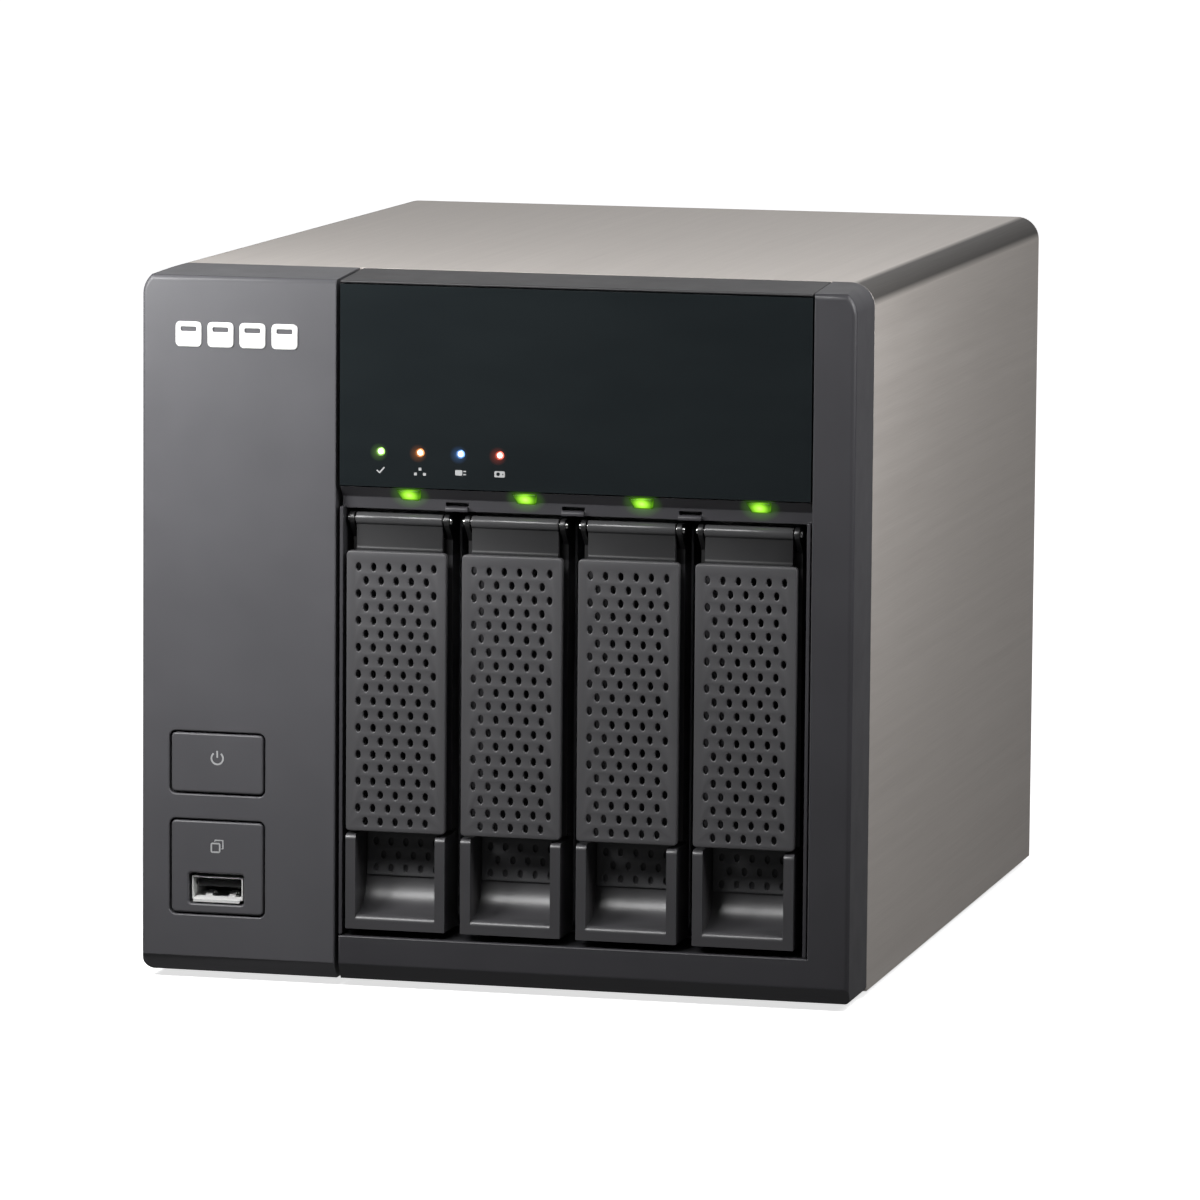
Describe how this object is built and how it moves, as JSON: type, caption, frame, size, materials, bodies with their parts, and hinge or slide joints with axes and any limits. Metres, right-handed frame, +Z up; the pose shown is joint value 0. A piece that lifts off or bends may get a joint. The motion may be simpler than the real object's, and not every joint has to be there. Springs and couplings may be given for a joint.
{
  "type": "nas enclosure",
  "caption": "Desktop network storage enclosure with upright drive trays behind perforated pull-down levers, a glossy window, a plain fascia with push keys and a brushed metal cover.",
  "frame": {"origin": "centre of the footprint, on the surface that the feet rest on", "axes": "+Z up, the front with the drive trays faces -Y, +X to the right as seen from the front"},
  "size_m": [0.18, 0.235, 0.177],
  "materials": {
    "cover_metal": "horizontally brushed, warm grey, satin",
    "zinc_sheet": "plain zinc-coated sheet",
    "fascia_plastic": "fine satin moulding",
    "frame_plastic": "fine satin moulding",
    "trim_plastic": "smooth satin",
    "window_gloss": "polished, near black",
    "lever_plastic": "satin, finely textured",
    "tray_plastic": "satin",
    "black_plastic": "plain black moulding",
    "polished_steel": "bright",
    "cast_aluminium": "cast and machined",
    "circuit_board": "solder-mask green",
    "green_lens": "clear lens, lit green",
    "clear_lens": "clear moulded light guide",
    "foot_rubber": "matt"
  },
  "bodies": {
    "housing": {"outer_cover": "cover_metal", "base_plate": "zinc_sheet", "rear_panel": "zinc_sheet", "drive_cage": "zinc_sheet", "psu_case": "zinc_sheet", "left_fascia": "fascia_plastic", "bezel_frame": "frame_plastic", "bay_surround": "frame_plastic", "top_trim": "trim_plastic", "display_window": "window_gloss", "status_light_guide": "clear_lens", "front_board": "circuit_board", "backplane_board": "circuit_board", "mainboard": "circuit_board", "memory_module": "circuit_board", "power_switch": "black_plastic", "copy_switch": "black_plastic", "front_usb_tongue": "black_plastic", "fan_frame": "black_plastic", "psu_inlet": "black_plastic", "front_usb_shell": "polished_steel", "rear_usb_ports": "polished_steel", "lan_ports": "polished_steel", "esata_ports": "polished_steel", "fan_guard": "polished_steel", "cover_screw_1": "polished_steel", "cover_screw_2": "polished_steel", "cpu_heatsink": "cast_aluminium", "foot_1": "foot_rubber", "sata_connector_1": "black_plastic", "disk_light_1": "green_lens", "foot_2": "foot_rubber", "sata_connector_2": "black_plastic", "disk_light_2": "green_lens", "foot_3": "foot_rubber", "sata_connector_3": "black_plastic", "disk_light_3": "green_lens", "foot_4": "foot_rubber", "sata_connector_4": "black_plastic", "disk_light_4": "green_lens"},
    "power_key": {"power_button": "fascia_plastic"},
    "copy_key": {"copy_button": "fascia_plastic"},
    "fan_wheel": {"fan_rotor": "black_plastic"},
    "psu_fan_wheel": {"psu_fan_rotor": "black_plastic"},
    "tray_body_1": {"tray_1": "tray_plastic", "hinge_pin_1": "polished_steel", "hard_drive_1": "cast_aluminium"},
    "handle_body_1": {"tray_handle_1": "lever_plastic"},
    "tray_body_2": {"tray_2": "tray_plastic", "hinge_pin_2": "polished_steel", "hard_drive_2": "cast_aluminium"},
    "handle_body_2": {"tray_handle_2": "lever_plastic"},
    "tray_body_3": {"tray_3": "tray_plastic", "hinge_pin_3": "polished_steel", "hard_drive_3": "cast_aluminium"},
    "handle_body_3": {"tray_handle_3": "lever_plastic"},
    "tray_body_4": {"tray_4": "tray_plastic", "hinge_pin_4": "polished_steel", "hard_drive_4": "cast_aluminium"},
    "handle_body_4": {"tray_handle_4": "lever_plastic"}
  },
  "joints": [
    {"name": "tray_slide_1", "type": "slide", "parent": "housing", "child": "tray_body_1", "axis": [0, -1, 0], "range_m": [0, 0.15]},
    {"name": "handle_pivot_1", "type": "hinge", "parent": "tray_body_1", "child": "handle_body_1", "pos_m": [-0.02472, -0.1137, 0.11685], "axis": [-1, 0, 0], "range_deg": [0, 85]},
    {"name": "tray_slide_2", "type": "slide", "parent": "housing", "child": "tray_body_2", "axis": [0, -1, 0], "range_m": [0, 0.15]},
    {"name": "handle_pivot_2", "type": "hinge", "parent": "tray_body_2", "child": "handle_body_2", "pos_m": [0.00463, -0.1137, 0.11685], "axis": [-1, 0, 0], "range_deg": [0, 85]},
    {"name": "tray_slide_3", "type": "slide", "parent": "housing", "child": "tray_body_3", "axis": [0, -1, 0], "range_m": [0, 0.15]},
    {"name": "handle_pivot_3", "type": "hinge", "parent": "tray_body_3", "child": "handle_body_3", "pos_m": [0.03398, -0.1137, 0.11685], "axis": [-1, 0, 0], "range_deg": [0, 85]},
    {"name": "tray_slide_4", "type": "slide", "parent": "housing", "child": "tray_body_4", "axis": [0, -1, 0], "range_m": [0, 0.15]},
    {"name": "handle_pivot_4", "type": "hinge", "parent": "tray_body_4", "child": "handle_body_4", "pos_m": [0.06333, -0.1137, 0.11685], "axis": [-1, 0, 0], "range_deg": [0, 85]},
    {"name": "power_button_press", "type": "slide", "parent": "housing", "child": "power_key", "axis": [0, 1, 0], "range_m": [0, 0.001], "stiffness_N_per_m": 800},
    {"name": "copy_button_press", "type": "slide", "parent": "housing", "child": "copy_key", "axis": [0, 1, 0], "range_m": [0, 0.001], "stiffness_N_per_m": 800},
    {"name": "fan_spin", "type": "hinge", "parent": "housing", "child": "fan_wheel", "pos_m": [0.02015, 0.0975, 0.064], "axis": [0, 1, 0], "continuous": true},
    {"name": "psu_fan_spin", "type": "hinge", "parent": "housing", "child": "psu_fan_wheel", "pos_m": [0.00115, 0.1045, 0.14105], "axis": [0, 1, 0], "continuous": true}
  ]
}
